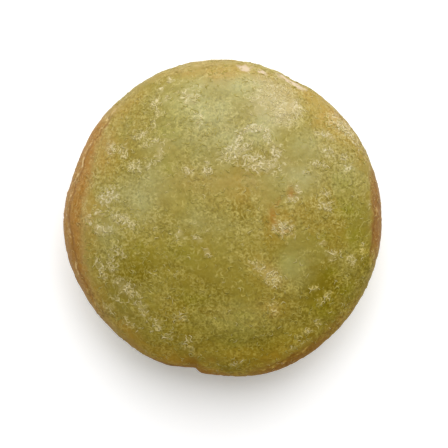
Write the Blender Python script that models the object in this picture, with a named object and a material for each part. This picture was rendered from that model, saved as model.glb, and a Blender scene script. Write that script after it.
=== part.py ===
"""One large green lentil, a dry seed with its coat on, lying on its broad face.

Metres, +Z up along the seed's short axis. The origin is on the surface the seed rests on, under the middle
of its box. The nick beside the seed's scar is on the -Y side. The seed is one solid: a sphere whose points
are moved out to a lens with a rounded rim, a slightly wavy outline, a nick, a scar, the ridge of the root
that lies along the rim, and shallow dents in both faces.
"""

import math

import bmesh
import bpy
from mathutils import Vector

MM = 0.001

# The lens
RADIUS = 3.31 * MM          # mean radius of the outline, seen face on
UPPER_CROWN = 1.36 * MM     # from the rim's middle plane up to the upper crown
LOWER_CROWN = 1.34 * MM     # and down to the lower crown, before its flat spot
CHEEK = 0.30                # 0 is an ellipse in section; more makes flatter cheeks and a tighter rim
REST_RADIUS = 0.65 * MM     # of the flat spot under the lower crown

# The outline's waves, as (how many round the rim, height, where one peaks in degrees from +X towards +Y)
OUTLINE_WAVES = (
    (2, 0.018 * MM, -52),
    (3, 0.009 * MM, 58),
    (4, 0.021 * MM, 6),
    (5, 0.006 * MM, -35),
)

# Stretches of rim that grew pressed against the pod, as (where in degrees, half width in degrees, depth)
PRESSED = (
    (63, 5, 0.039 * MM),    # a short flat at the upper right
    (162, 16, 0.060 * MM),  # a long one at the left
    (265, 14, 0.085 * MM),  # and where the stalk held the seed
)

# The nick across the rim where the scar ends and the root tip begins
NICK_AT = 259               # degrees
NICK_RUN_IN = 6.5           # degrees over which it deepens, on the scar's side
NICK_STEP = 2.1             # degrees over which it ends, at the root tip
NICK_DEPTH = 0.090 * MM
NICK_REACH = 0.55 * MM      # up and down from the rim's middle plane
RIM_POWER = 6               # how closely the nick and the scar keep to the rim

# The scar where the seed was held in the pod: a narrow hollow along the rim, left of the nick
SCAR_AT = 248               # degrees
SCAR_HALF_LENGTH = 0.50 * MM
SCAR_HALF_WIDTH = 0.17 * MM
SCAR_DEPTH = 0.014 * MM

# The root lies along the rim under the coat, from the nick round to the right, and lifts the coat a little
ROOT_FROM = 264             # degrees
ROOT_TO = 312
ROOT_FADE = 9               # degrees
ROOT_RIDGE = 0.025 * MM
ROOT_RIDGE_AT = 0.91        # as a share of the outline's radius
ROOT_GROOVE = 0.025 * MM    # the furrow between the root and the seed leaves
ROOT_GROOVE_AT = 0.79
ROOT_HALF = 0.055           # of the ridge and of the furrow, as a share too

# Shallow dents left as the seed dried, as (x, y, half width, depth) in millimetres
UPPER_DENTS = (
    (0.62, 1.55, 0.55, 0.020),
    (-1.15, 0.35, 0.80, 0.022),
    (1.25, 0.45, 0.38, 0.016),
    (0.85, -1.15, 0.70, 0.020),
    (-0.90, -1.55, 0.75, 0.018),
    (-0.35, 1.85, 0.60, -0.014),
    (1.95, -0.75, 0.50, 0.014),
)
LOWER_DENTS = (
    (-1.30, 0.90, 0.70, 0.022),
    (1.45, 0.70, 0.60, 0.020),
    (0.40, -1.60, 0.65, 0.020),
    (-1.50, -1.05, 0.55, 0.016),
    (0.30, 1.70, 0.55, -0.012),
)

FACE_UPRIGHT = 0.5          # dents and the root's relief fade out from here down to the rim

# The mesh
MERIDIANS = 108
RINGS = 40
GATHER = 0.62               # how far the meridians close up at the nick, where the shape is finest

COAT_COLOUR = "9C8C45"      # sRGB, the olive green of the middle of the seed
COAT_ROUGHNESS = 0.55


def linear(hex_colour):
    """An sRGB hex colour as the linear RGBA that a shader takes."""
    shares = (int(hex_colour[i : i + 2], 16) / 255 for i in (0, 2, 4))
    return (*(s / 12.92 if s <= 0.04045 else ((s + 0.055) / 1.055) ** 2.4 for s in shares), 1.0)


def bell(distance, half_width):
    """1 at the middle, falling smoothly to about a third at half_width and to nothing past twice that."""
    return math.exp(-((distance / half_width) ** 2))


def step(value, start, end):
    """0 at start, 1 at end, and smooth between them."""
    share = min(max((value - start) / (end - start), 0.0), 1.0)
    return share * share * (3 - 2 * share)


def turn_from(angle, centre):
    """The angle measured from centre, in degrees from -180 to 180."""
    return (angle - centre + 180) % 360 - 180


def bulge(upright):
    """The height of the lens as a share of its crown, where a ball's surface would be this high."""
    return upright * (1 - CHEEK + CHEEK * upright)


def outline(angle):
    """The outline's radius at an angle in degrees, before the nick is cut."""
    waves = sum(
        height * math.cos(math.radians(count * (angle - peak))) for count, height, peak in OUTLINE_WAVES
    )
    pressed = sum(depth * bell(turn_from(angle, place), half) for place, half, depth in PRESSED)
    return RADIUS + waves - pressed


def nick(angle, height):
    """How far the rim is cut in at the nick."""
    past = turn_from(angle, NICK_AT)
    return NICK_DEPTH * bell(past, NICK_RUN_IN if past < 0 else NICK_STEP) * bell(height, NICK_REACH)


def scar(angle, height):
    """How far the rim is hollowed at the scar, an ellipse along the rim."""
    along = math.radians(turn_from(angle, SCAR_AT)) * RADIUS
    return SCAR_DEPTH * bell(math.hypot(along / SCAR_HALF_LENGTH, height / SCAR_HALF_WIDTH), 1)


def root(angle, reach):
    """How far the root lifts the coat of a face: a ridge by the rim and a furrow inside it."""
    begun = step(turn_from(angle, ROOT_FROM), 0, ROOT_FADE)
    lasting = step(turn_from(angle, ROOT_TO), ROOT_FADE, -ROOT_FADE)
    ridge = ROOT_RIDGE * bell(reach - ROOT_RIDGE_AT, ROOT_HALF)
    groove = ROOT_GROOVE * bell(reach - ROOT_GROOVE_AT, ROOT_HALF)
    return begun * lasting * (ridge - groove)


def dents(x, y, table):
    """How deep the dried-in dents are at a place on a face."""
    depth = 0.0
    for at_x, at_y, half, deep in table:
        depth += deep * MM * bell(math.hypot(x / MM - at_x, y / MM - at_y), half)
    return depth


def seed_point(direction):
    """The point of the seed's surface that lies in this direction from its middle."""
    angle = math.degrees(math.atan2(direction.y, direction.x)) % 360
    reach = min(math.hypot(direction.x, direction.y), 1.0)
    upper = direction.z >= 0
    crown = UPPER_CROWN if upper else LOWER_CROWN
    height = crown * bulge(abs(direction.z))

    at_rim = reach**RIM_POWER
    radius = reach * outline(angle) - at_rim * (nick(angle, height) + scar(angle, height))
    x = radius * math.cos(math.radians(angle))
    y = radius * math.sin(math.radians(angle))

    relief = root(angle, reach) - dents(x, y, UPPER_DENTS if upper else LOWER_DENTS)
    height += relief * step(abs(direction.z), 0, FACE_UPRIGHT)
    return Vector((x, y, height if upper else -height))


def gathered(direction):
    """The direction turned about Z, so that more meridians pass the nick."""
    past = math.atan2(direction.y, direction.x) - math.radians(NICK_AT)
    turn = -GATHER * math.sin(past)
    cosine, sine = math.cos(turn), math.sin(turn)
    return Vector(
        (direction.x * cosine - direction.y * sine, direction.x * sine + direction.y * cosine, direction.z)
    )


def rest_height():
    """The height of the plane that cuts the flat spot under the lower crown."""
    return -LOWER_CROWN * bulge(math.sqrt(1 - (REST_RADIUS / RADIUS) ** 2))


def coat_material():
    """The seed coat: olive green, a dull waxy skin."""
    material = bpy.data.materials.new("seed coat")
    material.use_nodes = True
    shader = material.node_tree.nodes["Principled BSDF"]
    shader.inputs["Base Color"].default_value = linear(COAT_COLOUR)
    shader.inputs["Roughness"].default_value = COAT_ROUGHNESS
    shader.inputs["Metallic"].default_value = 0.0
    return material


def lentil_mesh():
    """The seed as one closed mesh, standing on its flat spot and centred on the origin."""
    form = bmesh.new()
    bmesh.ops.create_uvsphere(form, u_segments=MERIDIANS, v_segments=RINGS, radius=1.0)
    floor = rest_height()
    for vertex in form.verts:
        vertex.co = seed_point(gathered(vertex.co.normalized()))
        vertex.co.z = max(vertex.co.z, floor)
    low = Vector(min(v.co[axis] for v in form.verts) for axis in range(3))
    high = Vector(max(v.co[axis] for v in form.verts) for axis in range(3))
    middle = (low + high) / 2
    bmesh.ops.translate(form, verts=form.verts, vec=(-middle.x, -middle.y, -floor))
    bmesh.ops.recalc_face_normals(form, faces=form.faces)
    mesh = bpy.data.meshes.new("lentil")
    form.to_mesh(mesh)
    form.free()
    mesh.shade_smooth()
    return mesh


def main():
    for old in list(bpy.data.objects):
        bpy.data.objects.remove(old, do_unlink=True)
    parts = bpy.data.collections.new("green lentil")
    bpy.context.scene.collection.children.link(parts)
    lentil = bpy.data.objects.new("lentil", lentil_mesh())
    lentil.data.materials.append(coat_material())
    parts.objects.link(lentil)


main()
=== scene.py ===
# %% [markdown]
# # A green lentil, dressed
#
# One dry green lentil lies on its broad face and is seen from straight above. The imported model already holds
# the seed's form as one solid. This script gives it the skin: fine wrinkles, the pale scuffs, the
# brown rim and the loose flakes of a seed that has rubbed against thousands of others.
#
# Everything is in metres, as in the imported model. A seed is so small that most values are written in
# millimetres and multiplied by MM.

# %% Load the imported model
import math

import bpy
import numpy as np
from mathutils import Matrix, Vector


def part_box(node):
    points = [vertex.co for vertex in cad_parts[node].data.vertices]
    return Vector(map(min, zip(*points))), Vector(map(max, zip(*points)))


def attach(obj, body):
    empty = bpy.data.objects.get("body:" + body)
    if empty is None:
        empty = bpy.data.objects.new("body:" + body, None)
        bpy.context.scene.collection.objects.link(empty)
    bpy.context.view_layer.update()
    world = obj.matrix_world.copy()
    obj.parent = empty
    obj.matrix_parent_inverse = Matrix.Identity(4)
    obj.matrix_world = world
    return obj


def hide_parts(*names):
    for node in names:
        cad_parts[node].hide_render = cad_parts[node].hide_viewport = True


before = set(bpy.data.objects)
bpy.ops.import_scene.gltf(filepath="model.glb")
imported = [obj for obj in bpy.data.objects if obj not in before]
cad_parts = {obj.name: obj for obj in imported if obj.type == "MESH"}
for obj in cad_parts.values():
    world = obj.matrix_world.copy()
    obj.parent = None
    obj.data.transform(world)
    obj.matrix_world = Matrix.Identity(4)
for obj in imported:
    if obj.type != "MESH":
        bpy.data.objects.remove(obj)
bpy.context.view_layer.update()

MM = 0.001
low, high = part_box("lentil")
print("the packed seed measures", [round(side / MM, 3) for side in high - low], "mm")

# %% [markdown]
# ## Camera
#
# The photograph looks straight down on the seed, which fills most of the frame. A long lens keeps the rim
# from bulging. The distance follows from how many millimetres one pixel spans in the plane of the rim, and
# the camera slides sideways by the seed's place in the frame.

# %% Camera straight above the seed
FRAME_PIXELS = 448
SEED_PIXELS = 316.5  # the seed's width in the photograph
SEED_CENTRE = (222.5, 218.0)  # the middle of its box there, in pixels from the top left
LENS = 100
SENSOR = 36
RIM_HEIGHT = 1.31 * MM

pixel = (high.x - low.x) / SEED_PIXELS
camera = bpy.data.objects.new("camera", bpy.data.cameras.new("camera"))
bpy.context.scene.collection.objects.link(camera)
camera.data.lens = LENS
camera.data.sensor_width = SENSOR
camera.data.clip_start = 1 * MM
camera.data.clip_end = 1.0
camera.location = (
    (FRAME_PIXELS / 2 - SEED_CENTRE[0]) * pixel,
    (SEED_CENTRE[1] - FRAME_PIXELS / 2) * pixel,
    RIM_HEIGHT + FRAME_PIXELS * pixel * LENS / SENSOR,
)
bpy.context.scene.camera = camera
print("one pixel spans", round(pixel / MM, 4), "mm, the camera is", round(camera.location.z / MM, 1), "mm up")

# %% [markdown]
# ## One helper for every node
#
# Both the geometry and the materials below are node trees. This function adds one node: its own settings go
# in by name, and its inputs in order or by name, each a plain value or another node's output.

# %% Add a node
MATH = "ShaderNodeMath"
VECTOR = "ShaderNodeVectorMath"
NOISE = "ShaderNodeTexNoise"
VORONOI = "ShaderNodeTexVoronoi"
RANGE = "ShaderNodeMapRange"
SPLIT = "ShaderNodeSeparateXYZ"
JOIN = "ShaderNodeCombineXYZ"
PLACE = "GeometryNodeInputPosition"
SET_PLACE = "GeometryNodeSetPosition"
ATTRIBUTE = "ShaderNodeAttribute"
STORE = "GeometryNodeStoreNamedAttribute"
# Kinds of node that come back all the time, each with the setting that makes it what it is
STEP = (RANGE, {"interpolation_type": "SMOOTHSTEP"})
SCALED = (VECTOR, {"operation": "SCALE"})
FROM = (VECTOR, {"operation": "SUBTRACT"})
TIMES = (MATH, {"operation": "MULTIPLY"})
PLUS = (MATH, {"operation": "ADD"})
MINUS = (MATH, {"operation": "SUBTRACT"})
TIMES_PLUS = (MATH, {"operation": "MULTIPLY_ADD"})
LARGER = (MATH, {"operation": "MAXIMUM"})
SINE = (MATH, {"operation": "SINE"})
COSINE = (MATH, {"operation": "COSINE"})
TURN = (MATH, {"operation": "ARCTAN2"})


def add(tree, kind, inputs=(), out=0, **settings):
    """Adds a node to a tree and returns one of its outputs."""
    if isinstance(kind, tuple):
        kind, usual = kind
        settings = usual | settings
    node = tree.nodes.new(kind)
    for name, value in settings.items():
        setattr(node, name, value)
    for key, value in inputs.items() if isinstance(inputs, dict) else enumerate(inputs):
        if isinstance(value, bpy.types.NodeSocket):
            tree.links.new(value, node.inputs[key])
        else:
            node.inputs[key].default_value = value
    return node.outputs[out]


# %% [markdown]
# ## The seed's form
#
# A lentil is a ball pressed into a lens. So the form is a Geometry Nodes tree that blows a cube of fine
# squares up to a ball and moves each point out to the lens. A cube's grid has no pinched poles, so wrinkles
# look the same everywhere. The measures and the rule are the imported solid's own, on a mesh fine enough for
# the skin.

# %% The seed's measures
RADIUS = 3.31 * MM  # mean radius of the outline
UPPER_CROWN = 1.36 * MM  # from the rim's middle plane to the crowns
LOWER_CROWN = 1.34 * MM
CHEEK = 0.30  # 0 is an ellipse in section; more gives flatter cheeks
REST_RADIUS = 0.65 * MM  # the flat spot that the seed rests on
GRID = 120  # squares along each edge of the cube
CROWN_PULL = 0.15  # draws squares from the rim to the crowns, where they would be largest

# Waves of the outline: how many round the rim, height, and where one peaks in degrees
OUTLINE_WAVES = (
    (2, 0.018 * MM, -52),
    (3, 0.009 * MM, 58),
    (4, 0.021 * MM, 6),
    (5, 0.006 * MM, -35),
)
# Stretches pressed against the pod: where, half width in degrees, depth
PRESSED = (
    (63, 5, 0.039 * MM),
    (162, 16, 0.060 * MM),
    (265, 14, 0.085 * MM),
)
NICK_AT = 259
NICK_RUN_IN = 6.5
NICK_STEP = 2.1
NICK_DEPTH = 0.090 * MM
NICK_REACH = 0.55 * MM
RIM_POWER = 6
SCAR_AT = 248
SCAR_HALF_LENGTH = 0.50 * MM
SCAR_HALF_WIDTH = 0.17 * MM
SCAR_DEPTH = 0.014 * MM
ROOT_FROM = 264
ROOT_TO = 312
ROOT_FADE = 9
ROOT_RIDGE = 0.025 * MM
ROOT_RIDGE_AT = 0.91
ROOT_GROOVE = 0.025 * MM
ROOT_GROOVE_AT = 0.79
ROOT_HALF = 0.055
FACE_UPRIGHT = 0.5
# Dents dried into the faces: x, y, half width and depth in millimetres
UPPER_DENTS = (
    (0.62, 1.55, 0.55, 0.02), (-1.15, 0.35, 0.8, 0.022), (1.25, 0.45, 0.38, 0.016),
    (0.85, -1.15, 0.7, 0.02), (-0.9, -1.55, 0.75, 0.018), (-0.35, 1.85, 0.6, -0.014),
    (1.95, -0.75, 0.5, 0.014),
)
LOWER_DENTS = (
    (-1.3, 0.9, 0.7, 0.022), (1.45, 0.7, 0.6, 0.02), (0.4, -1.6, 0.65, 0.02), (-1.5, -1.05, 0.55, 0.016),
    (0.3, 1.7, 0.55, -0.012),
)
rest_upright = math.sqrt(1 - (REST_RADIUS / RADIUS) ** 2)
FLOOR = -LOWER_CROWN * rest_upright * (1 - CHEEK + CHEEK * rest_upright)
print("the rim's middle plane is", round(-FLOOR / MM, 3), "mm above the surface")

# %% [markdown]
# Three things come back all through the trees: a bell, which is 1 at a place and fades round it, a shake,
# which noise makes, and a turn, the angle from one direction to another. Each is a few nodes.

# %% Bells, shakes and turns
ONE_OVER_E = 1 / math.e


def bell(tree, distance, half_width):
    """1 where distance is 0, about a third at half_width, and nothing past twice that."""
    share = add(tree, MATH, (distance, half_width), operation="DIVIDE")
    square = add(tree, TIMES, (share, share))
    return add(tree, MATH, (ONE_OVER_E, square), operation="POWER")


def shake(tree, inputs, **settings):
    """Noise in three directions, each from -0.5 to 0.5."""
    three = add(tree, NOISE, inputs, out=1, **settings)
    return add(tree, FROM, (three, (0.5, 0.5, 0.5)))


def turn_from(tree, angle, degrees):
    """The angle measured from a direction, from -pi to pi."""
    turned = add(tree, MINUS, (angle, math.radians(degrees)))
    return add(tree, MATH, (turned, math.pi, -math.pi), operation="WRAP")


# %% A new tree with named inputs
def geometry_tree(name, sizes, geometry_in=False):
    """A Geometry Nodes tree: its inputs are the sizes' names and a material, and its output is geometry."""
    tree = bpy.data.node_groups.new(name, "GeometryNodeTree")
    if geometry_in:
        tree.interface.new_socket("Geometry", in_out="INPUT", socket_type="NodeSocketGeometry")
    for size in sizes:
        kind = "NodeSocketInt" if isinstance(sizes[size], int) else "NodeSocketFloat"
        tree.interface.new_socket(size, in_out="INPUT", socket_type=kind)
    tree.interface.new_socket("Material", in_out="INPUT", socket_type="NodeSocketMaterial")
    tree.interface.new_socket("Geometry", in_out="OUTPUT", socket_type="NodeSocketGeometry")
    tree.nodes.new("NodeGroupInput")
    return tree


def run_tree(tree, name, values, start=None):
    """Runs a tree on a new object and returns an object that holds the result as a plain mesh."""
    maker = bpy.data.objects.new(name + "_maker", start or bpy.data.meshes.new(name))
    bpy.context.scene.collection.objects.link(maker)
    modifier = maker.modifiers.new(name, "NODES")
    modifier.node_group = tree
    for socket in tree.interface.items_tree:
        if socket.in_out == "INPUT" and socket.name in values:
            modifier[socket.identifier] = values[socket.name]
    graph = bpy.context.evaluated_depsgraph_get()
    mesh = bpy.data.meshes.new_from_object(maker.evaluated_get(graph))
    bpy.data.objects.remove(maker, do_unlink=True)
    mesh.name = name
    made = bpy.data.objects.new(name, mesh)
    bpy.context.scene.collection.objects.link(made)
    print(name, "has", len(mesh.vertices), "points and", len(mesh.polygons), "faces")
    return made


# %% [markdown]
# ### From cube to lens
#
# The cube's points are pushed out to a ball of radius 1. There the polar angle tells how far a point is
# from the crown. It is drawn a little towards the crowns, so that all squares end up about equally large.
# Reach, 0 at the crown and 1 at the rim, and upright, the other way round, then give the lens.

# %% Nodes for the lens
JUST_UNDER_RIM = -1e-5  # so that the rim itself counts as the upper face
form_sizes = {"Radius": RADIUS, "Upper Crown": UPPER_CROWN, "Lower Crown": LOWER_CROWN, "Cheek": CHEEK}
form_sizes |= {"Relief": 1.0, "Grid": GRID + 1}
form = geometry_tree("Lentil form", form_sizes)
given = form.nodes["Group Input"].outputs

cube = add(form, "GeometryNodeMeshCube", {0: (1, 1, 1), 1: given["Grid"], 2: given["Grid"], 3: given["Grid"]})
place = add(form, PLACE)
place = add(form, VECTOR, (place, (math.pi / 2,) * 3), operation="MULTIPLY")
place = add(form, VECTOR, (place,), operation="TANGENT")
ball = add(form, VECTOR, (place,), operation="NORMALIZE")
split = add(form, SPLIT, (ball,)).node.outputs
angle = add(form, TURN, (split["Y"], split["X"]))
flat = add(form, VECTOR, (ball, (1, 1, 0)), operation="MULTIPLY")
from_axis = add(form, VECTOR, (flat,), out="Value", operation="LENGTH")
size_z = add(form, MATH, (split["Z"],), operation="ABSOLUTE")
upper = add(form, MATH, (split["Z"], JUST_UNDER_RIM), operation="GREATER_THAN")

polar = add(form, TURN, (from_axis, size_z))
double = add(form, TIMES, (polar, 2.0))
double = add(form, SINE, (double,))
polar = add(form, TIMES_PLUS, (double, -CROWN_PULL, polar))
reach = add(form, SINE, (polar,))
upright = add(form, COSINE, (polar,))

cheek = add(form, TIMES_PLUS, (given["Cheek"], upright, 1.0))
cheek = add(form, MINUS, (cheek, given["Cheek"]))
bulge = add(form, TIMES, (upright, cheek))
more = add(form, MINUS, (given["Upper Crown"], given["Lower Crown"]))
crown = add(form, TIMES_PLUS, (upper, more, given["Lower Crown"]))
height = add(form, TIMES, (crown, bulge))

# %% [markdown]
# ### The outline
#
# The outline is a circle with a few slow waves and three pressed stretches. The nick and the scar cut into
# it only close to the rim. The root, which lies along the rim under the coat, shows as a low ridge with a
# furrow inside it.

# %% Nodes for the outline, nick, scar and root
outline = given["Radius"]
for count, tall, peak in OUTLINE_WAVES:
    wave = add(form, MINUS, (angle, math.radians(peak)))
    wave = add(form, TIMES, (wave, float(count)))
    wave = add(form, COSINE, (wave,))
    outline = add(form, TIMES_PLUS, (wave, tall, outline))
for where, half, depth in PRESSED:
    dip = bell(form, turn_from(form, angle, where), math.radians(half))
    outline = add(form, TIMES_PLUS, (dip, -depth, outline))

past = turn_from(form, angle, NICK_AT)
before = add(form, MATH, (past, 0.0), operation="LESS_THAN")
wider = math.radians(NICK_RUN_IN - NICK_STEP)
half = add(form, TIMES_PLUS, (before, wider, math.radians(NICK_STEP)))
nick = bell(form, past, half)
nick = add(form, TIMES, (nick, bell(form, height, NICK_REACH)))
along = add(form, TIMES, (turn_from(form, angle, SCAR_AT), RADIUS))
scar = bell(form, along, SCAR_HALF_LENGTH)
scar = add(form, TIMES, (scar, bell(form, height, SCAR_HALF_WIDTH)))
cut = add(form, TIMES, (nick, NICK_DEPTH))
cut = add(form, TIMES_PLUS, (scar, SCAR_DEPTH, cut))
at_rim = add(form, MATH, (reach, float(RIM_POWER)), operation="POWER")
cut = add(form, TIMES, (cut, at_rim))
radius = add(form, TIMES, (reach, outline))
radius = add(form, MINUS, (radius, cut))
cosine = add(form, COSINE, (angle,))
sine = add(form, SINE, (angle,))
x = add(form, TIMES, (radius, cosine))
y = add(form, TIMES, (radius, sine))

begun = turn_from(form, angle, ROOT_FROM)
fade = math.radians(ROOT_FADE)
begun = add(form, STEP, (begun, 0.0, fade))
lasting = turn_from(form, angle, ROOT_TO)
lasting = add(form, STEP, (lasting, fade, -fade))
ridge = add(form, MINUS, (reach, ROOT_RIDGE_AT))
groove = add(form, MINUS, (reach, ROOT_GROOVE_AT))
groove = add(form, TIMES, (bell(form, groove, ROOT_HALF), -ROOT_GROOVE))
root = add(form, TIMES_PLUS, (bell(form, ridge, ROOT_HALF), ROOT_RIDGE, groove))
root = add(form, TIMES, (root, begun))
root = add(form, TIMES, (root, lasting))

# %% Nodes for the dents, and the lens itself
flat_place = add(form, JOIN, (x, y))


def dents(table):
    """How deep the dried-in dents of one face are."""
    depth = 0.0
    for at_x, at_y, half, deep in table:
        away = add(form, VECTOR, (flat_place, (at_x * MM, at_y * MM, 0)), out="Value", operation="DISTANCE")
        depth = add(form, TIMES_PLUS, (bell(form, away, half * MM), deep * MM, depth))
    return depth


lower_depth = dents(LOWER_DENTS)
more = add(form, MINUS, (dents(UPPER_DENTS), lower_depth))
depth = add(form, TIMES_PLUS, (upper, more, lower_depth))
raised = add(form, MINUS, (root, depth))
on_face = add(form, STEP, (size_z, 0.0, FACE_UPRIGHT))
height = add(form, TIMES_PLUS, (raised, on_face, height))
side = add(form, TIMES_PLUS, (upper, 2.0, -1.0))
z = add(form, TIMES, (height, side))
lens_place = add(form, JOIN, (x, y, z))
kept = cube
for name, value in {"polar": polar, "nick": nick, "scar": scar}.items():
    kept = add(form, STORE, {"Geometry": kept, "Name": name, "Value": value})
lens = add(form, SET_PLACE, {"Geometry": kept, "Position": lens_place})

# %% [markdown]
# ## The zones of the skin
#
# Rubbing, drying and the pod have left marks: pale scuffs, windows of brighter green, ochre spots, chips
# where the coat is bare, and a brown stain round the rim. Painting them by hand on the mesh would not repeat,
# so each is a soft ellipse at a place in millimetres, and noise bends its edge. The tree stores the zones as
# attributes, and both the relief and the material read them.

# %% Where the marks are
# x, y, half length, half width, turn in degrees, strength. Places count from the middle of the seed, lengths
# are in hundredths of a millimetre, and a strength of 100 is full.
UPPER_MARKS = {
    "scuff": (
        (95, 250, 42, 32, 20, 45), (125, 220, 24, 26, 0, 60), (147, 230, 12, 20, 20, 50),
        (85, 280, 30, 14, -15, 35), (60, 180, 26, 6, 8, 100), (88, 168, 7, 15, 15, 90),
        (30, 162, 12, 7, 60, 70), (25, 134, 26, 13, 25, 95), (78, 110, 38, 14, -5, 80),
        (108, 135, 10, 16, 0, 55), (212, 170, 18, 7, -20, 60), (245, 195, 26, 12, -38, 90),
        (275, 160, 20, 6, -62, 80), (215, 138, 15, 8, -35, 60), (248, 128, 8, 6, 0, 60),
        (195, 112, 16, 6, -8, 75), (256, 106, 8, 9, 0, 55), (167, 95, 12, 4, 0, 60),
        (142, 42, 12, 7, 20, 85), (152, 58, 5, 9, 0, 80), (206, 50, 12, 5, 15, 50),
        (206, 25, 13, 10, 0, 55), (300, 30, 6, 9, 0, 25), (120, -20, 20, 10, -15, 95),
        (72, -95, 20, 8, -30, 70), (98, -118, 20, 12, -40, 75), (102, -180, 10, 12, 0, 60),
        (185, -140, 7, 6, 0, 100), (215, -153, 9, 6, 35, 95), (196, -168, 5, 9, 0, 80),
        (202, -48, 8, 5, 10, 100), (222, -72, 13, 11, 0, 55), (262, -84, 12, 9, -40, 60),
        (286, -60, 6, 16, -10, 50), (192, -214, 6, 7, 0, 75), (173, -228, 10, 6, -20, 80),
        (155, -238, 8, 5, 25, 60), (152, -262, 30, 6, 32, 45), (28, -295, 14, 6, 20, 60),
        (-273, -2, 7, 10, 0, 70), (-242, -20, 20, 9, -5, 90), (-204, 0, 22, 8, -30, 90),
        (-208, -65, 13, 7, -35, 65), (-226, -92, 22, 8, -75, 55), (-248, -100, 25, 7, -70, 60),
        (-194, -142, 28, 13, -32, 75), (-214, -165, 14, 7, -30, 60), (-162, -184, 26, 7, -55, 80),
        (-236, -180, 12, 9, -40, 50), (-135, -218, 9, 14, -20, 55), (-190, -214, 20, 7, -30, 45),
        (-83, -31, 7, 5, 0, 80), (-53, -40, 11, 5, -20, 75), (-30, -69, 11, 6, -45, 85),
        (-83, -197, 14, 9, 10, 60), (-110, -239, 14, 6, 15, 50), (-72, -245, 10, 9, 0, 50),
        (-70, -266, 15, 6, -30, 50), (-110, 285, 7, 5, 20, 65), (-127, 266, 11, 5, 45, 65),
        (-66, 248, 18, 17, 0, 60), (-47, 272, 13, 5, 0, 50), (-138, 235, 8, 12, 0, 70),
        (-118, 244, 12, 7, 20, 60), (-130, 214, 6, 8, 0, 95), (-141, 197, 5, 9, 0, 95),
        (-173, 172, 17, 7, 5, 75), (-224, 145, 13, 10, 20, 70), (-200, 138, 7, 14, 0, 75),
        (-136, 156, 28, 8, 12, 45), (-127, 132, 7, 16, -10, 70), (-177, 108, 12, 10, 0, 60),
        (-148, 105, 10, 7, 0, 60), (-72, 96, 10, 7, 0, 60), (-32, 101, 8, 11, 0, 60),
        (-230, 46, 20, 17, 10, 60), (-246, 34, 6, 6, 0, 40), (-252, 13, 15, 4, 0, 60),
        (-48, 200, 10, 17, 0, 55),
    ),
    # A thin pale film with a clear edge, where the coat's outer layer has come loose
    "film": ((106, 240, 48, 52, 20, 100), (90, 280, 42, 20, -25, 60)),
    "green": (
        (265, -35, 22, 28, 0, 75), (202, -34, 20, 10, 0, 70), (205, -185, 32, 20, 0, 75),
        (255, -145, 18, 25, -20, 60), (40, -193, 18, 10, 0, 60), (123, -82, 22, 28, 0, 30),
        (-106, 101, 15, 14, 0, 75), (-120, 174, 20, 9, 0, 60), (220, -110, 15, 12, 0, 60),
        (-60, -160, 30, 16, 0, 50), (-170, -60, 30, 25, 0, 40), (-80, -70, 40, 20, -20, 40),
        (245, 75, 25, 15, -30, 60), (250, 20, 32, 20, -10, 80), (20, -255, 40, 18, 0, 35),
        (-235, 200, 20, 8, 45, 45),
    ),
    "ochre": (
        (138, 53, 9, 9, 0, 120), (110, 34, 5, 14, -20, 80), (100, 3, 8, 18, 12, 115),
        (120, -24, 16, 7, -20, 80), (98, -110, 20, 10, -40, 35), (102, -188, 9, 8, 0, 85),
        (-20, -288, 8, 6, 0, 50), (230, 218, 12, 5, -42, 70),
    ),
    "chip": ((46, 314, 15, 8, -5, 100), (82, 306, 14, 5, -35, 90), (142, 287, 38, 8.5, -29, 100)),
    # Broad drifts of the ground's colour: towards grey green, golden brown and deep green
    "sage": (
        (-50, 210, 110, 60, 20, 90), (10, 175, 70, 40, -10, 60), (105, 235, 60, 50, 0, 40),
        (135, -105, 42, 42, 0, 75), (160, 85, 45, 28, 0, 75), (180, 145, 50, 35, 0, 45),
        (-160, 90, 50, 70, 0, 40), (-230, -10, 40, 50, 0, 50), (-140, -180, 50, 50, 0, 15),
        (45, -195, 70, 35, 0, 45), (20, 275, 90, 32, 0, 100), (75, 185, 70, 35, 30, 70),
        (-160, 40, 80, 60, 20, 70), (-40, 0, 80, 35, 0, 45), (240, 100, 40, 35, 0, 35),
        (-140, 160, 60, 40, 30, 60),
    ),
    "gold": (
        (210, 215, 85, 36, -42, 110), (-20, 300, 130, 22, 0, 85), (-205, 225, 70, 18, 42, 60),
        (-245, 140, 35, 70, -10, 75), (-275, 20, 30, 90, 0, 75), (10, 55, 110, 45, -8, 55),
        (105, 0, 50, 45, 0, 60), (90, -110, 50, 25, -40, 55), (105, -180, 35, 20, 0, 55),
        (285, 120, 20, 60, 15, 50), (120, -275, 90, 22, 22, 60), (10, -280, 80, 25, 0, 50),
        (235, -225, 60, 18, 44, 80), (-95, -295, 90, 22, -16, 100), (-268, -160, 24, 75, 30, 110),
        (-200, -235, 75, 20, -42, 100),
    ),
    "deep": (
        (208, -160, 90, 68, 42, 115), (70, -235, 110, 38, 8, 55), (-60, -170, 80, 36, -10, 50),
        (292, -80, 34, 80, 0, 105), (180, -75, 60, 35, 0, 50), (-175, -110, 55, 50, 0, 65),
        (-90, 135, 45, 25, 0, 40), (-95, 30, 60, 55, 0, 50), (-175, 135, 50, 35, 0, 50),
        (10, 15, 110, 40, -10, 50), (-110, 190, 65, 55, 0, 50),
    ),
}
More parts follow.
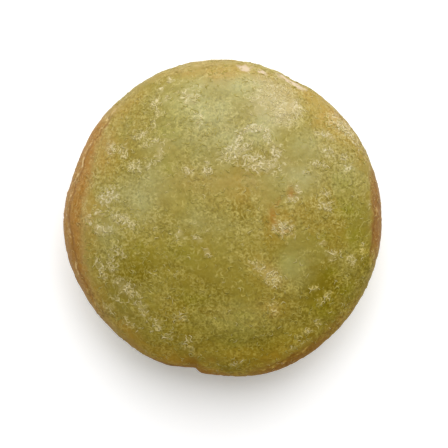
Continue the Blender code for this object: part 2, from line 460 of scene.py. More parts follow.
LOWER_MARKS = {
    "scuff": (
        (-80, 170, 40, 22, 25, 90), (-35, 220, 20, 12, -20, 70), (130, 190, 30, 14, -35, 75),
        (220, 110, 22, 10, -60, 65), (255, 10, 10, 24, 0, 70), (170, -30, 18, 10, 10, 80),
        (60, 80, 25, 9, -15, 70), (-60, 55, 16, 12, 0, 60), (-190, 90, 20, 16, 30, 80),
        (-250, 20, 9, 25, 0, 70), (-200, -80, 26, 10, -30, 75), (-110, -50, 20, 12, 20, 60),
        (-140, -190, 30, 12, -30, 80), (-30, -130, 20, 10, 40, 70), (50, -230, 34, 10, 5, 65),
        (140, -160, 24, 14, -35, 80), (220, -140, 10, 16, 0, 60), (90, -90, 14, 7, 0, 80),
    ),
    "film": ((-90, 180, 50, 35, 25, 90), (150, -150, 40, 30, -35, 80)),
    "green": (
        (-210, -20, 30, 30, 0, 80), (160, 110, 35, 22, 0, 70), (80, -170, 30, 20, 0, 60),
        (-90, -120, 25, 18, 0, 50),
    ),
    "ochre": ((-130, 20, 10, 8, 0, 90), (90, 150, 12, 7, 20, 70), (190, -90, 8, 10, 0, 60)),
    "chip": ((-110, 290, 20, 5, 21, 90), (275, -140, 16, 5, 62, 80)),
    "sage": ((60, 160, 90, 50, -20, 80), (-120, -60, 60, 60, 0, 70), (150, -120, 50, 40, 0, 50)),
    "gold": (
        (-60, 40, 90, 50, 15, 80), (60, -230, 120, 35, 10, 70), (-190, 200, 80, 30, 42, 80),
        (260, 60, 25, 90, 0, 60),
    ),
    "deep": ((-40, -220, 120, 50, 0, 80), (190, 70, 60, 50, 0, 60), (-180, 30, 60, 40, 0, 50)),
}
# The rim's stain: where in degrees, half width in degrees, how far it reaches in (share of radius), strength
RIM_STAINS = (
    (180, 34, 0.112, 1.3), (153, 22, 0.19, 0.58), (218, 22, 0.09, 0.3), (1, 20, 0.066, 1.3),
    (312, 22, 0.058, 0.72), (288, 16, 0.058, 0.72), (261, 12, 0.07, 0.9), (240, 14, 0.05, 0.38),
    (95, 28, 0.06, 0.45), (40, 16, 0.055, 0.55),
)
# A stain begins this far in at its ends, so much further in its middle, and is whole from the third share out
ENDS_SHARE, MIDDLE_SHARE, WHOLE_SHARE = 0.4, 1.6, 1 / 3
WANDER = 0.10  # mm by which noise bends the marks' edges
SCUFF_SPREAD = 0.70  # a power below 1 widens the scuffs' faint borders
print(len(UPPER_MARKS["scuff"]) + len(LOWER_MARKS["scuff"]), "scuffs placed by hand")

# %% [markdown]
# A mark's distance is measured in its own turned and stretched frame, where it is a round bell. The third
# number of that frame is the face, up or down, so that a mark doesn't show through to the other side.

# %% Nodes for the marks
stored_place = add(form, PLACE)
in_mm = add(form, SCALED, {0: stored_place, "Scale": 1 / MM})
bend = shake(form, {"Vector": in_mm, "Scale": 5.0, "Detail": 2.0})
bend = add(form, SCALED, {0: bend, "Scale": 2 * WANDER})
bent = add(form, VECTOR, (in_mm, bend), operation="ADD")
bent_split = add(form, SPLIT, (bent,)).node.outputs
FACE_FRAME = 3.0  # stands for the height of a face in the marks' own frame
FACE_FADE = 0.12  # mm from the rim's middle plane to where the marks are whole
face = add(form, TIMES, (bent_split["Z"], FACE_FRAME / FACE_FADE))
face = add(form, "ShaderNodeClamp", (face, -FACE_FRAME, FACE_FRAME))
mark_place = add(form, JOIN, (bent_split["X"], bent_split["Y"], face))


def marks(upper_table, lower_table):
    """One zone: the strongest of its marks at each point."""
    zone = 0.0
    for table, level in ((upper_table, FACE_FRAME), (lower_table, -FACE_FRAME)):
        for *sizes, turn, strength in table:
            at_x, at_y, long, wide = (size / 100 for size in sizes)
            off = add(form, FROM, (mark_place, (at_x, at_y, level)))
            inputs = {"Vector": off, "Angle": -math.radians(turn)}
            off = add(form, "ShaderNodeVectorRotate", inputs, rotation_type="Z_AXIS")
            off = add(form, VECTOR, (off, (1 / long, 1 / wide, 1)), operation="MULTIPLY")
            square = add(form, VECTOR, (off, off), out="Value", operation="DOT_PRODUCT")
            one = add(form, MATH, (ONE_OVER_E, square), operation="POWER")
            one = add(form, TIMES, (one, strength / 100))
            zone = add(form, LARGER, (zone, one))
    return zone


zones = {name: marks(UPPER_MARKS[name], LOWER_MARKS[name]) for name in UPPER_MARKS}
zones["scuff"] = add(form, MATH, (zones["scuff"], SCUFF_SPREAD), operation="POWER")

# %% Nodes for the rim's stain
bent_angle = add(form, TURN, (bent_split["Y"], bent_split["X"]))
bent_reach = add(form, SCALED, {0: bent, "Scale": MM / RADIUS})
bent_reach = add(form, VECTOR, (bent_reach, (1, 1, 0)), operation="MULTIPLY")
bent_reach = add(form, VECTOR, (bent_reach,), out="Value", operation="LENGTH")
stain = 0.0
for where, half, inward, strength in RIM_STAINS:
    here = bell(form, turn_from(form, bent_angle, where), math.radians(half))
    start = add(form, TIMES_PLUS, (here, -MIDDLE_SHARE * inward, 1 - ENDS_SHARE * inward))
    band = add(form, STEP, (bent_reach, start, 1 - WHOLE_SHARE * inward))
    one = add(form, TIMES, (here, band))
    stain = add(form, TIMES_PLUS, (one, strength, stain))
zones["stain"] = stain

stored = lens
for name, value in zones.items():
    stored = add(form, STORE, {"Geometry": stored, "Name": name, "Value": value})

# %% [markdown]
# ## The relief of the skin
#
# A dry coat is never smooth. Slow swells and shallow creases come from shrinking, and a fine net of raised
# lines shows where the wax has cracked and lifted. Each is a noise or a cell pattern whose scale is a real
# size in millimetres, and the points move along their normals by hundredths of a millimetre. Scuffed places
# are rougher, and chips lie one coat's thickness lower.

# %% Nodes for the relief
SWELL_SIZE, SWELL = 1.2, 0.030  # mm
CREASE_SIZE, CREASE = 0.42, 0.010
NET_SIZE, NET = 0.15, 0.007
GRAIN_SIZE, GRAIN = 0.075, 0.007
CHIP_DEPTH = 0.018
KEEL = 0.016  # the thin raised line round the rim
KEEL_HALF = 0.055  # as upright
NET_WIDTH = 0.22  # of the net's lines, as a share of a cell
CREASE_WIDTH = 0.10
SMOOTH_NET, SCUFFED_NET = 0.25, 0.75  # how much of the net shows everywhere, and more in the scuffs
CHIP_FROM, CHIP_FULL = 0.35, 0.50

lens_normal = add(form, "GeometryNodeInputNormal")
swell = add(form, NOISE, {"Vector": in_mm, "Scale": 1 / SWELL_SIZE, "Detail": 1.0})
relief = add(form, TIMES_PLUS, (swell, SWELL, -SWELL / 2))
crease = add(form, NOISE, {"Vector": bent, "Scale": 1 / CREASE_SIZE, "Detail": 2.0})
crease = add(form, MINUS, (crease, 0.5))
crease = add(form, MATH, (crease,), operation="ABSOLUTE")
crease = add(form, STEP, (crease, 0.0, CREASE_WIDTH, -CREASE, 0.0))
relief = add(form, PLUS, (relief, crease))
net = add(form, VORONOI, {"Vector": bent, "Scale": 1 / NET_SIZE}, feature="DISTANCE_TO_EDGE")
net = add(form, STEP, (net, 0.0, NET_WIDTH, 1.0, 0.0))
read = {}
for name in ("scuff", "chip", "polar"):
    read[name] = add(form, "GeometryNodeInputNamedAttribute", {"Name": name}, data_type="FLOAT")
rough = add(form, TIMES_PLUS, (read["scuff"], SCUFFED_NET, SMOOTH_NET))
net = add(form, TIMES, (net, rough))
relief = add(form, TIMES_PLUS, (net, NET, relief))
grain = add(form, NOISE, {"Vector": in_mm, "Scale": 1 / GRAIN_SIZE, "Detail": 1.0})
relief = add(form, TIMES_PLUS, (grain, GRAIN, relief))
chip_edge = add(form, STEP, (read["chip"], CHIP_FROM, CHIP_FULL))
relief = add(form, TIMES_PLUS, (chip_edge, -CHIP_DEPTH, relief))
rim = add(form, COSINE, (read["polar"],))
keel = bell(form, rim, KEEL_HALF)
relief = add(form, TIMES_PLUS, (keel, KEEL, relief))
relief = add(form, TIMES, (relief, given["Relief"]))

move = add(form, SCALED, {0: lens_normal, "Scale": relief})
move = add(form, SCALED, {0: move, "Scale": MM})

# %% [markdown]
# The points then move, and everything below the rest plane is pressed onto it, which gives the small flat
# spot. The tree ends by realising what it made and giving it its material.

# %% Move the points and press the flat spot
moved = add(form, SET_PLACE, {"Geometry": stored, "Offset": move})
floor_place = add(form, PLACE)
floor_place = add(form, VECTOR, (floor_place, (-1, -1, FLOOR)), operation="MAXIMUM")
flat_spot = add(form, SET_PLACE, {"Geometry": moved, "Position": floor_place})


def finish_tree(tree, geometry):
    """Smooth shading, plain geometry and the material: the end of both trees."""
    smooth = add(tree, "GeometryNodeSetShadeSmooth", {0: geometry})
    plain = add(tree, "GeometryNodeRealizeInstances", {0: smooth})
    material = tree.nodes["Group Input"].outputs["Material"]
    dressed = add(tree, "GeometryNodeSetMaterial", {"Geometry": plain, "Material": material})
    tree.links.new(dressed, tree.nodes.new("NodeGroupOutput").inputs[0])


finish_tree(form, flat_spot)
print("the form's tree has", len(form.nodes), "nodes")

# %% [markdown]
# ## The seed coat's look
#
# A green lentil's coat is a thin, waxy, translucent skin over two yellow-green seed leaves. Its tannins turn
# brown with age, first round the rim. Wax and starch dust make it dull, and rubbing tears up short pale
# fibres. To the eye that is an olive ground that drifts between sage, yellow and gold, a net of fine pale
# threads that is dense in the scuffs, small dark pits between them whose dark colour is painted shade, and a
# brown stained rim.
#
# The material reads Object coordinates in millimetres, so the pattern has a real scale, and the zones that
# the form's tree stored.

# %% Colours
def linear(hex_colour):
    """An sRGB hex colour as the linear RGBA that a shader takes."""
    shares = (int(hex_colour[i : i + 2], 16) / 255 for i in (0, 2, 4))
    return (*(s / 12.92 if s <= 0.04045 else ((s + 0.055) / 1.055) ** 2.4 for s in shares), 1.0)


OLIVE = "86781E"
SAGE = "A8A364"
GOLD = "B08C3A"
YELLOW = "948418"
TAN = "A58E58"
GREEN = "8E8E16"
DEEP = "76680C"
OCHRE = "A17222"
STAIN_TAN = "AC9054"
STAIN_ORANGE = "A3701F"
STAIN_RED = "885A22"
STAIN_PALE = "AF8040"
SPLIT_SHADE_DARK = "70440F"
SPLIT_CREAM = "E0C48C"
CREAM = "E4D6AE"
CHIP_CREAM = "D3BEA0"
FILM = "DEC49E"
THREAD = "CEC07C"
TANNED_THREAD = "CCA262"
PIT_SHADE = "5A4C08"
NICK_BROWN = "8E6420"
PAINTED_SHEEN = "B6BE9E"
DEEP_AND_SHADE_YELLOWING = "FFF6A8"
FIBRE_DULL = "AEA04A"
FIBRE_PALE = "DACB94"
FIBRE_BROWN = "C79A5C"
SHADE_SIDE_TOWARDS = (0.18, -0.97, 0.0)  # the direction towards the lower, shaded side, along which painted shade makes the colour deeper and yellower
FIELD_SIZE = 0.85  # mm, of the patches that differ slightly from their neighbours
FIELD_SAGE, FIELD_GOLD = 0.22, 0.15  # how far a patch may go towards sage and gold
ALWAYS_SAGE, ALWAYS_GOLD = 0.25, 0.15  # what the drifts have of them everywhere
BEND, SHIVER = 0.35, 0.09  # mm by which noise bends the pattern, broadly and finely
FRAY = 0.70  # how far noise moves the stain's edge
SPLIT_REACH = 0.966  # where the rim's skin has split, as a share of the radius
SPLIT_HALF = 0.007
SPLIT_WAVER = 0.09
PAINTED_SHEEN_SHARE = 0.20
VEIL_SHARE, FILM_SHARE, PIT_SHADE_SHARE, FLECK_SHARE = 0.20, 0.20, 0.38, 0.27
THREAD_SHARE, SCUFF_THREAD_SHARE = 0.57, 0.85
SHINE_WAXED, SHINE_BARE = 0.22, 0.02
ROUGHNESS = 0.50
SKIN_DEPTH = 0.20 * MM  # how deep light sinks in
CURL_HEIGHT = 0.006 * MM
# The curls' cell size, radius and half width in millimetres, the degrees that they sweep, and a seed
CURLS = (
    (0.085, 0.03, 0.0095, 190, 3.0), (0.11, 0.04, 0.01, 170, 17.0), (0.15, 0.055, 0.011, 170, 29.0),
    (0.125, 0.042, 0.0105, 220, 41.0), (0.3, 0.13, 0.0095, 120, 53.0),
)

# %% The coat's material, and places on it in millimetres
def new_material(name):
    """A material, its node tree and its shader."""
    material = bpy.data.materials.new(name)
    material.use_nodes = True
    return material, material.node_tree, material.node_tree.nodes["Principled BSDF"]


def set_even(shader, values):
    """Sets a shader's inputs that are the same all over."""
    for name, value in values.items():
        shader.inputs[name].default_value = value


coat, look, shader = new_material("lentil seed coat, dry waxy skin")
object_place = add(look, "ShaderNodeTexCoord", out=3)
place_mm = add(look, SCALED, {0: object_place, "Scale": 1 / MM})
bend = shake(look, {"Vector": place_mm, "Scale": 2.5, "Detail": 3.0})
bent_mm = add(look, VECTOR, (bend, (BEND,) * 3, place_mm), operation="MULTIPLY_ADD")
shiver = shake(look, {"Vector": place_mm, "Scale": 7.0, "Detail": 1.0})
shivered_mm = add(look, VECTOR, (shiver, (SHIVER,) * 3, place_mm), operation="MULTIPLY_ADD")

zone = {}
for name in (*UPPER_MARKS, "stain", "nick", "scar", "polar"):
    zone[name] = add(look, ATTRIBUTE, out=2, attribute_name=name)

# %% [markdown]
# Nearly every patch is one noise, and only its size differs. One table names them and gives the size of
# their features in millimetres. Another turns noises and zones into shares, by a smooth step.

# %% Noises and the shares made from them
# Size, detail, roughness, seed, and the place that it reads
NOISES = {
    "slow": (0.80, 2.0, 0.60, 2.0, place_mm),
    "drift": (0.35, 3.0, 0.60, 1.0, bent_mm),
    "tan": (0.22, 3.0, 0.60, 12.0, bent_mm),
    "fleck": (0.10, 3.0, 0.60, 4.0, place_mm),
    "streak": (0.16, 3.0, 0.60, 5.0, bent_mm),
    "fray": (0.25, 3.0, 0.60, 6.0, place_mm),
    "shred": (0.055, 3.0, 0.65, 9.0, place_mm),
    "wear": (0.40, 2.0, 0.60, 11.0, place_mm),
    "grit": (0.024, 1.0, 0.50, 10.0, place_mm),
    "crack": (0.09, 2.0, 0.60, 14.0, place_mm),
    "cluster": (0.13, 3.0, 0.65, 8.0, place_mm),
}
noise = {}
for name, (size, detail, roughness, draw, place) in NOISES.items():
    inputs = {"Vector": place, "W": draw, "Scale": 0.5 / size, "Detail": detail, "Roughness": roughness}
    noise[name] = add(look, NOISE, inputs, noise_dimensions="4D")

# The noise or zone, where its step starts and ends, and the shares there unless they are 0 and 1
SHARES = {
    "yellow": ("slow", 0.45, 0.65, 0.0, 0.60),
    "sage": ("drift", 0.35, 0.65, 0.30, 0.90),
    "gold": ("drift", 0.70, 0.38, 0.45, 0.95),
    "deep": ("drift", 0.62, 0.36, 0.55, 1.0),
    "tan": ("tan", 0.56, 0.70, 0.0, 0.22),
    "green": ("fleck", 0.30, 0.55, 0.20, 0.55),
    "pale stain": ("streak", 0.34, 0.62),
    "worn": ("wear", 0.40, 0.56, 0.22, 1.0),
    "pit": ("grit", 0.52, 0.66),
    "fleck of wax": ("grit", 0.47, 0.34),
    "flaked": ("crack", 0.50, 0.60),
    "by stain": ("stain", 0.30, 0.70),
    "nick": ("nick", 0.20, 0.75, 0.0, 0.85),
    "scar": ("scar", 0.20, 0.60, 0.0, 0.80),
    "film edge": ("film", 0.36, 0.46, 0.0, 0.50),
    "scuffed": ("scuff", 0.05, 0.50),
}
sources = noise | zone
share = {}
for name, (source, *values) in SHARES.items():
    share[name] = add(look, STEP, (sources[source], *values))

# %% The ground: olive that drifts between sage, yellow and gold
def lay_over(colour, layers, **settings):
    """Covers a colour with others in turn, each by its share, or by the product of two."""
    for covering, *shares in layers:
        amount = add(look, TIMES, shares) if len(shares) == 2 else shares[0]
        covering = linear(covering) if isinstance(covering, str) else covering
        inputs = {0: amount, 6: colour, 7: covering}
        colour = add(look, "ShaderNodeMix", inputs, out=2, data_type="RGBA", **settings)
    return colour


some_sage = add(look, PLUS, (zone["sage"], ALWAYS_SAGE))
some_gold = add(look, PLUS, (zone["gold"], ALWAYS_GOLD))
fields = add(look, VORONOI, {"Vector": bent_mm, "Scale": 1 / FIELD_SIZE}, out=1, feature="F1")
field = add(look, SPLIT, (fields,)).node.outputs
layers = (
    (YELLOW, share["yellow"]),
    (SAGE, some_sage, share["sage"]),
    (GOLD, some_gold, share["gold"]),
    (DEEP, zone["deep"], share["deep"]),
    (SAGE, add(look, STEP, (field[0], 0.55, 1.0, 0.0, FIELD_SAGE))),
    (GOLD, add(look, STEP, (field[1], 0.55, 1.0, 0.0, FIELD_GOLD))),
    (TAN, share["tan"]),
    (GREEN, zone["green"], share["green"]),
)
colour = lay_over(linear(OLIVE), layers)

# %% [markdown]
# The rim browned first and is stained in two steps, a broad tan one and a narrow brown one. A tenth of a
# millimetre inside the edge the outermost skin has split and curls up as a broken pale line.

# %% The rim's stain, its split skin and the ochre spots
west_to_east = add(look, SPLIT, (place_mm,))
redder = add(look, STEP, (west_to_east, -2.4, 2.4))
layers = ((STAIN_RED, redder), (STAIN_PALE, share["pale stain"], 0.35))
brown = lay_over(linear(STAIN_ORANGE), layers)
frayed = add(look, PLUS, (noise["fray"], -0.5))
stained = add(look, TIMES_PLUS, (frayed, FRAY, zone["stain"]))
most_tan = add(look, STEP, (west_to_east, 0.5, 2.8, 0.75, 0.25))
tanned = add(look, STEP, (stained, 0.10, 0.75, 0.0, most_tan))
browned = add(look, STEP, (stained, 0.34, 1.10, 0.0, 0.92))
colour = lay_over(colour, ((STAIN_TAN, tanned), (brown, browned)))

rim_reach = add(look, SINE, (zone["polar"],))
from_split = add(look, TIMES_PLUS, (frayed, SPLIT_WAVER, rim_reach))
from_split = add(look, MINUS, (from_split, SPLIT_REACH))
fewer = add(look, STEP, (west_to_east, 1.0, 2.8, 1.0, 0.45))
split_skin = bell(look, from_split, SPLIT_HALF)
for limit in (share["by stain"], share["flaked"], fewer):
    split_skin = add(look, TIMES, (split_skin, limit))
inside = add(look, PLUS, (from_split, 2.5 * SPLIT_HALF))
split_shade = add(look, TIMES, (bell(look, inside, SPLIT_HALF), share["by stain"]))
# Just inside the split, a dark line is painted shade beside the curled-up skin
layers = (
    (SPLIT_SHADE_DARK, split_shade, 0.45),
    (SPLIT_CREAM, split_skin, 0.80),
    (OCHRE, zone["ochre"], 0.80),
    (NICK_BROWN, share["nick"]),
    (STAIN_RED, share["scar"]),
)
colour = lay_over(colour, layers)

# %% [markdown]
# Rubbing leaves thin pale curls in the skin, about 0.02 mm wide, which is one pixel here. A cell pattern
# gives each curl a middle, and the curl is part of a ring round it, turned and left out by chance. Five sizes
# lie over one another. Scuffs keep nearly all their curls and the ground keeps a few.

# %% Curls, grit and the scuffs' film
def curls(cell, radius, half_width, sweep, seed):
    """Thin arcs, one to each cell of a size in millimetres, as a share from 0 to 1."""
    place = add(look, VECTOR, (shivered_mm, (seed, seed, seed)), operation="ADD")
    cells = add(look, VORONOI, {"Vector": place, "Scale": 1 / cell}, feature="F1").node.outputs
    away = add(look, FROM, (place, cells["Position"]))
    length = add(look, VECTOR, (away,), out="Value", operation="LENGTH")
    ring = bell(look, add(look, MINUS, (length, radius)), half_width)
    aside = add(look, SPLIT, (away,)).node.outputs
    chance = add(look, "ShaderNodeSeparateColor", (cells["Color"],)).node.outputs
    turn = add(look, TURN, (aside["Y"], aside["X"]))
    turn = add(look, TIMES_PLUS, (chance["Red"], 2 * math.pi, turn))
    turn = add(look, MATH, (turn, math.pi, -math.pi), operation="WRAP")
    turn = add(look, MATH, (turn,), operation="ABSOLUTE")
    arc = add(look, STEP, (turn, math.radians(sweep * 0.6), math.radians(sweep * 0.4)))
    arc = add(look, TIMES, (arc, ring))
    kept = add(look, STEP, (chance["Green"], 0.20, 0.60, 0.15, 1.0))
    return add(look, TIMES, (arc, kept))


fine_curls = add(look, LARGER, (curls(*CURLS[0]), curls(*CURLS[1])))
wide_curls = add(look, LARGER, (curls(*CURLS[2]), curls(*CURLS[3])))
wide_curls = add(look, LARGER, (wide_curls, curls(*CURLS[4])))
some = add(look, TIMES_PLUS, (zone["scuff"], 0.45, noise["cluster"]))
some = add(look, STEP, (some, 0.40, 0.62))
fine_amount = add(look, TIMES_PLUS, (some, 0.65, 0.35))
fine_amount = add(look, TIMES, (fine_amount, share["worn"]))
fine_curls = add(look, TIMES, (fine_curls, fine_amount))
wide_curls = add(look, TIMES, (wide_curls, some))
threads = add(look, LARGER, (fine_curls, wide_curls))

torn = add(look, PLUS, (noise["shred"], -0.5))
torn = add(look, TIMES_PLUS, (torn, 1.2, zone["scuff"]))
veil = add(look, STEP, (torn, 0.10, 0.90))
filmed = add(look, RANGE, (zone["film"], 0.10, 0.90, share["film edge"], 1.0))
for smoother, loss in ((filmed, 0.30), (browned, 0.40)):
    left = add(look, TIMES_PLUS, (smoother, -loss, 1.0))
    threads = add(look, TIMES, (threads, left))
pits = add(look, TIMES, (share["pit"], share["worn"]))
wax_flecks = add(look, TIMES, (share["fleck of wax"], share["worn"]))
thread_share = add(look, RANGE, (zone["scuff"], 0.10, 0.70, THREAD_SHARE, SCUFF_THREAD_SHARE))
layers = ((CREAM, share["scuffed"]), (TANNED_THREAD, browned, 0.65))
thread_colour = lay_over(linear(THREAD), layers)
# The dark colour in the pits is painted shade in these small hollows
layers = (
    (CREAM, veil, VEIL_SHARE),
    (FILM, filmed, FILM_SHARE),
    (PIT_SHADE, pits, PIT_SHADE_SHARE),
    (THREAD, wax_flecks, FLECK_SHARE),
    (thread_colour, threads, thread_share),
)
colour = lay_over(colour, layers)

# %% [markdown]
# Over all this lies a whitish painted sheen, which stands in for the key light's broad highlight on the waxy
# coat. It is thick on the upper left and all but gone at the lower right, where the colour is deeper and
# yellower: partly the deep drifts' own colour, partly painted shade on the side away from the light.

# %% Painted sheen, deeper yellower colour in the deep drifts and as painted shade on the lower side, and chips
colour = lay_over(colour, ((PAINTED_SHEEN, zone["sage"], PAINTED_SHEEN_SHARE),))
# Deeper and yellower: in the deep drifts this is the coat's own colour, towards the lower side away from the
# light it is painted shade
deep_and_shade_side = add(look, TIMES, (zone["deep"], 0.85))
towards_shade_side = add(look, VECTOR, (place_mm, SHADE_SIDE_TOWARDS), out="Value", operation="DOT_PRODUCT")
towards_shade_side = add(look, RANGE, (towards_shade_side, -0.8, 3.2, 0.0, 0.95))
deep_and_shade_side = add(look, LARGER, (deep_and_shade_side, towards_shade_side))
colour = lay_over(colour, ((DEEP_AND_SHADE_YELLOWING, deep_and_shade_side),), blend_type="MULTIPLY")
chipped = add(look, TIMES_PLUS, (noise["shred"], 1.0, zone["chip"]))
chipped = add(look, STEP, (chipped, 0.70, 1.35, 0.0, 0.92))
colour = lay_over(colour, ((CHIP_CREAM, chipped),))
look.links.new(colour, shader.inputs["Base Color"])

# %% [markdown]
# Wax gives the coat a broad, weak shine. It fades where the wax has worn off, and curls and scuffs break it
# up. Light sinks in a little before it comes out again. The curls stand a few thousandths of a millimetre
# proud, too little for the mesh, so they are bump.

# %% Shine, softness and fine bump
values = {"IOR": 1.45, "Subsurface Weight": 0.12, "Subsurface Radius": (1.0, 0.75, 0.25)}
set_even(shader, values | {"Subsurface Scale": SKIN_DEPTH})
shine = add(look, RANGE, (deep_and_shade_side, 0.0, 0.80, SHINE_WAXED, SHINE_BARE))
look.links.new(shine, shader.inputs["Specular IOR Level"])
dull = add(look, TIMES_PLUS, (threads, 0.10, ROUGHNESS))
dull = add(look, TIMES_PLUS, (zone["scuff"], 0.08, dull))
look.links.new(dull, shader.inputs["Roughness"])
raised = add(look, TIMES_PLUS, (pits, -0.4, threads))
bump = add(look, "ShaderNodeBump", {"Height": raised, "Strength": 0.6, "Distance": CURL_HEIGHT})
look.links.new(bump, shader.inputs["Normal"])
print("the coat's material has", len(look.nodes), "nodes")

# %% [markdown]
# ## Run the tree
#
# The tree's inputs are set and it is run once. The result becomes a plain mesh, which is moved onto the
# packed seed's box. Its middle plane was the rim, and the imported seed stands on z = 0.

# %% Grow the coat
def values_of(items, name, width=1, kind=float):
    """One property of all points, corners or faces of a mesh, as an array."""
    values = np.empty(len(items) * width, dtype=kind)
    items.foreach_get(name, values)
    return values.reshape(-1, width) if width > 1 else values


seed = run_tree(form, "seed_coat", form_sizes | {"Material": coat})
points = values_of(seed.data.vertices, "co", 3)
middle = (points.min(axis=0) + points.max(axis=0)) / 2
shift = Vector(((low.x + high.x) / 2 - middle[0], (low.y + high.y) / 2 - middle[1], -points[:, 2].min()))
seed.data.transform(Matrix.Translation(shift))
print("moved by", [round(part / MM, 4) for part in shift], "mm")

# %% [markdown]
# ## A flat map for the baked textures
#
# This is a flat map to bake the colours on. Both faces are laid out as round discs on the diagonal of one
# square, with distances along the curve kept, so that nothing is stretched.

# %% Lay both faces out as discs
CURVE_STEPS = 200
DISC = 0.285  # the discs' radius and middles on the map
UPPER_DISC = (0.293, 0.707)
LOWER_DISC = (0.707, 0.293)


def lay_out(mesh, shift):
    """Writes the map OFBake: along the curve from the crown becomes out from the middle of the disc."""
    steps = np.linspace(0, math.pi / 2, CURVE_STEPS)
    across = np.sin(steps)
    tall = np.cos(steps) * (1 - CHEEK + CHEEK * np.cos(steps)) * UPPER_CROWN / RADIUS
    run = np.concatenate([[0], np.cumsum(np.hypot(np.diff(across), np.diff(tall)))])
    polar = values_of(mesh.attributes["polar"].data, "value")
    places = values_of(mesh.vertices, "co", 3) - np.array(shift)
    angle = np.arctan2(places[:, 1], places[:, 0])
    reach = np.interp(polar, steps, run / run[-1]) * DISC
    corners = values_of(mesh.loops, "vertex_index", kind=np.int32)
    face_up = values_of(mesh.polygons, "center", 3)[:, 2] > shift[2]
    up = np.repeat(face_up, values_of(mesh.polygons, "loop_total", kind=np.int32))
    turn = np.where(up, 1.0, -1.0)
    middle = np.where(up[:, None], UPPER_DISC, LOWER_DISC)
    flat = middle + (reach[corners] * np.stack([np.cos(angle[corners]) * turn, np.sin(angle[corners])])).T
    mesh.uv_layers.new(name="OFBake").data.foreach_set("uv", flat.ravel())


lay_out(seed.data, shift)
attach(seed, "root")
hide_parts("lentil")

# %% [markdown]
# ## Torn fibres
#
# Where the coat has rubbed, its outermost layer lifts in short, curled fibres a fiftieth of a millimetre
# wide. They catch the light and shade the skin beside them, which paint can't do. There are thousands, so a
# second tree scatters them: it makes five arcs that taper to both ends, drops them on the coat with the
# scuffs as the density, lays each one flat on the skin, and turns and scales it by chance.

# %% The fibre's own look
fibre_look, look, shader = new_material("torn coat fibre, dry cellulose")
for name in ("tint", "scuff", "film", "stain"):
    zone[name] = add(look, ATTRIBUTE, out=2, attribute_name=name)
bright = add(look, TIMES_PLUS, (zone["scuff"], 0.8, zone["tint"]))
bright = add(look, TIMES_PLUS, (zone["film"], 0.9, bright))
bright = add(look, STEP, (bright, 0.60, 1.25))
browned = add(look, STEP, (zone["stain"], 0.3, 0.9, 0.0, 0.7))
colour = lay_over(linear(FIBRE_DULL), ((FIBRE_PALE, bright), (FIBRE_BROWN, browned)))
look.links.new(colour, shader.inputs["Base Color"])
set_even(shader, {"Roughness": 0.6, "Specular IOR Level": 0.2})

# %% Five tapered arcs
fibre_sizes = {"Half Width": 0.0095 * MM, "Points": 6, "Seed": 11}
fibre_sizes |= {"Ground Density": 40e6, "Scuff Density": 250e6}  # to the square metre
# How far each arc turns in degrees, its length and how far it wriggles, both in millimetres
ARCS = ((25, 0.09, 0.035), (70, 0.1, 0.045), (120, 0.11, 0.04), (160, 0.11, 0.03), (50, 0.07, 0.035))
WRIGGLE_SIZE = 0.030  # mm
FIBRE_FLATNESS = 0.5
FIBRE_LIFT = 0.003 * MM
FIBRE_SIDES = 3

fibres = geometry_tree("Torn fibres", fibre_sizes, geometry_in=True)
given = fibres.nodes["Group Input"].outputs
along = add(fibres, "GeometryNodeSplineParameter")
taper = add(fibres, TIMES, (along, math.pi))
taper = add(fibres, SINE, (taper,))
taper = add(fibres, RANGE, (taper, 0.0, 1.0, 0.25, 1.0))
inputs = {"Resolution": FIBRE_SIDES, "Radius": given["Half Width"]}
section = add(fibres, "GeometryNodeCurvePrimitiveCircle", inputs)
shapes = add(fibres, "GeometryNodeJoinGeometry")
for turn, length, wriggle in reversed(ARCS):
    inputs = {"Resolution": given["Points"], "Radius": length * MM / math.radians(turn)}
    inputs |= {"Start Angle": math.radians(90 - turn / 2), "Sweep Angle": math.radians(turn)}
    arc = add(fibres, "GeometryNodeCurveArc", inputs)
    centred = (0, -length * MM / math.radians(turn), 0)
    arc = add(fibres, "GeometryNodeTransform", {0: arc, "Translation": centred})
    spot = add(fibres, PLACE)
    spot = add(fibres, SCALED, {0: spot, "Scale": 1 / MM / WRIGGLE_SIZE})
    wave = shake(fibres, {"Vector": spot, "W": float(turn), "Scale": 0.5}, noise_dimensions="4D")
    wave = add(fibres, VECTOR, (wave, (2 * wriggle * MM, 2 * wriggle * MM, 0)), operation="MULTIPLY")
    arc = add(fibres, SET_PLACE, {"Geometry": arc, "Offset": wave})
    inputs = {"Curve": arc, "Profile Curve": section, "Scale": taper, "Fill Caps": True}
    fibre = add(fibres, "GeometryNodeCurveToMesh", inputs)
    inputs = {0: fibre, "Scale": (1, 1, FIBRE_FLATNESS), "Translation": (0, 0, FIBRE_LIFT)}
    fibre = add(fibres, "GeometryNodeTransform", inputs)
    fibre = add(fibres, "GeometryNodeGeometryToInstance", {0: fibre})
    fibres.links.new(fibre, shapes.node.inputs[0])

# %% Scatter them on the coat
PATCH_SIZE = 0.45  # mm, of the patches with more and fewer fibres
CLEAR_OF_FLOOR = (0.02 * MM, 0.05 * MM)  # heights between which the fibres begin, above the flat spot


def chance(low, high, draw):
    """A number by chance for each fibre; draw tells the throws apart."""
    seed = add(fibres, PLUS, (given["Seed"], 100.0 * draw))
    return add(fibres, "FunctionNodeRandomValue", {2: low, 3: high, "Seed": seed}, out=1, data_type="FLOAT")


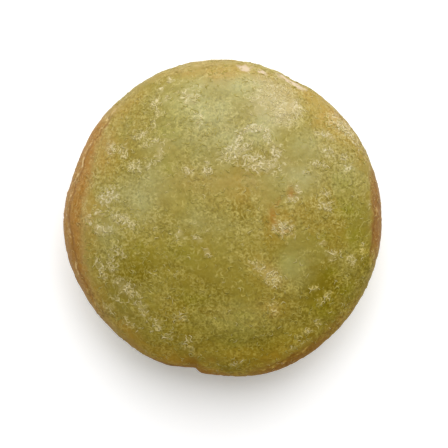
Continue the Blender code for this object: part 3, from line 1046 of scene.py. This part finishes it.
spot = add(fibres, PLACE)
spot_mm = add(fibres, SCALED, {0: spot, "Scale": 1 / MM})
patch = add(fibres, NOISE, {"Vector": spot_mm, "Scale": 0.5 / PATCH_SIZE, "Detail": 2.0})
patch = add(fibres, STEP, (patch, 0.38, 0.60, 0.25, 1.6))
density = add(fibres, TIMES, (given["Ground Density"], patch))
scuffed = add(fibres, "GeometryNodeInputNamedAttribute", {"Name": "scuff"}, data_type="FLOAT")
density = add(fibres, TIMES_PLUS, (scuffed, given["Scuff Density"], density))
spot_height = add(fibres, SPLIT, (spot,), out=2)
clear = add(fibres, STEP, (spot_height, *CLEAR_OF_FLOOR))
density = add(fibres, TIMES, (density, clear))
inputs = {"Mesh": given["Geometry"], "Density": density, "Seed": given["Seed"]}
strewn = add(fibres, "GeometryNodeDistributePointsOnFaces", inputs)
upright = strewn.node.outputs["Rotation"]
strewn = add(fibres, STORE, {"Geometry": strewn, "Name": "tint", "Value": chance(0.0, 1.0, 1)})
spin = add(fibres, JOIN, {"Z": chance(0.0, 2 * math.pi, 2)})
turned = add(fibres, "FunctionNodeRotateRotation", (upright, spin), rotation_space="LOCAL")
grown = add(fibres, TIMES_PLUS, (scuffed, 0.30, chance(0.55, 1.25, 3)))
pick = add(fibres, MATH, (chance(0.0, float(len(ARCS)), 4),), operation="FLOOR")
inputs = {"Points": strewn, "Instance": shapes, "Pick Instance": True, "Instance Index": pick}
inputs |= {"Rotation": turned, "Scale": add(fibres, JOIN, (grown, grown, grown))}
strewn = add(fibres, "GeometryNodeInstanceOnPoints", inputs)
finish_tree(fibres, strewn)

# %% Grow the fibres
torn_fibres = run_tree(fibres, "torn_fibres", fibre_sizes | {"Material": fibre_look}, seed.data)


def lay_out_faces(mesh):
    """Gives each face, of three or four sides, its own little square of the map OFBake."""
    count = len(mesh.polygons)
    row = math.ceil(math.sqrt(count))
    sides = values_of(mesh.polygons, "loop_total", kind=np.int32)
    first = values_of(mesh.polygons, "loop_start", kind=np.int32)
    face = np.repeat(np.arange(count), sides)
    corner = np.array([(0.1, 0.1), (0.9, 0.1), (0.9, 0.9), (0.1, 0.9)])[np.arange(len(face)) - first[face]]
    flat = (np.stack([face % row, face // row], axis=1) + corner) / row
    mesh.uv_layers.new(name="OFBake").data.foreach_set("uv", flat.ravel())


lay_out_faces(torn_fibres.data)
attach(torn_fibres, "root")

# %% [markdown]
# ## Floor and light
#
# The photograph's ground is plain white, so the seed lies on a wide white sheet. The light is large and soft
# and comes from the top of the picture, a little from the right. It leaves the near rim clearly darker than
# the far one, which makes the seed look round. The world fills in the rest.

# %% White floor
FLOOR_SIDE = 0.6
FLOOR_GLOW = 0.22  # keeps the sheet white where the light is weak
sheet_white, _, shader = new_material("white sheet, matt")
values = {"Base Color": linear("FAFAFA"), "Roughness": 0.9, "Specular IOR Level": 0.0}
set_even(shader, values | {"Emission Color": (1, 1, 1, 1), "Emission Strength": FLOOR_GLOW})
half = FLOOR_SIDE / 2
ground = bpy.data.meshes.new("floor")
corners = [(-half, -half, 0), (half, -half, 0), (half, half, 0), (-half, half, 0)]
ground.from_pydata(corners, [], [(0, 1, 2, 3)])
ground.materials.append(sheet_white)
floor = bpy.data.objects.new("floor", ground)
bpy.context.scene.collection.objects.link(floor)

# %% Soft light from the top of the picture
KEY_AZIMUTH = 84  # degrees from +X towards +Y
KEY_ELEVATION = 52
KEY_AWAY = 0.20
KEY_SIDE = 0.22
KEY_POWER = 0.55
WORLD_LEVEL = 0.26

turn, lift = math.radians(KEY_AZIMUTH), math.radians(KEY_ELEVATION)
toward = Vector((math.cos(lift) * math.cos(turn), math.cos(lift) * math.sin(turn), math.sin(lift)))
lamp = bpy.data.lights.new("key light", "AREA")
lamp.size = KEY_SIDE
lamp.energy = KEY_POWER
key = bpy.data.objects.new("key light", lamp)
key.location = toward * KEY_AWAY
key.rotation_mode = "QUATERNION"
key.rotation_quaternion = toward.to_track_quat("Z", "Y")
bpy.context.scene.collection.objects.link(key)
world = bpy.data.worlds.new("soft room")
world.use_nodes = True
set_even(world.node_tree.nodes["Background"], {"Color": (1, 1, 1, 1), "Strength": WORLD_LEVEL})
bpy.context.scene.world = world
bpy.context.scene.view_settings.view_transform = "Standard"
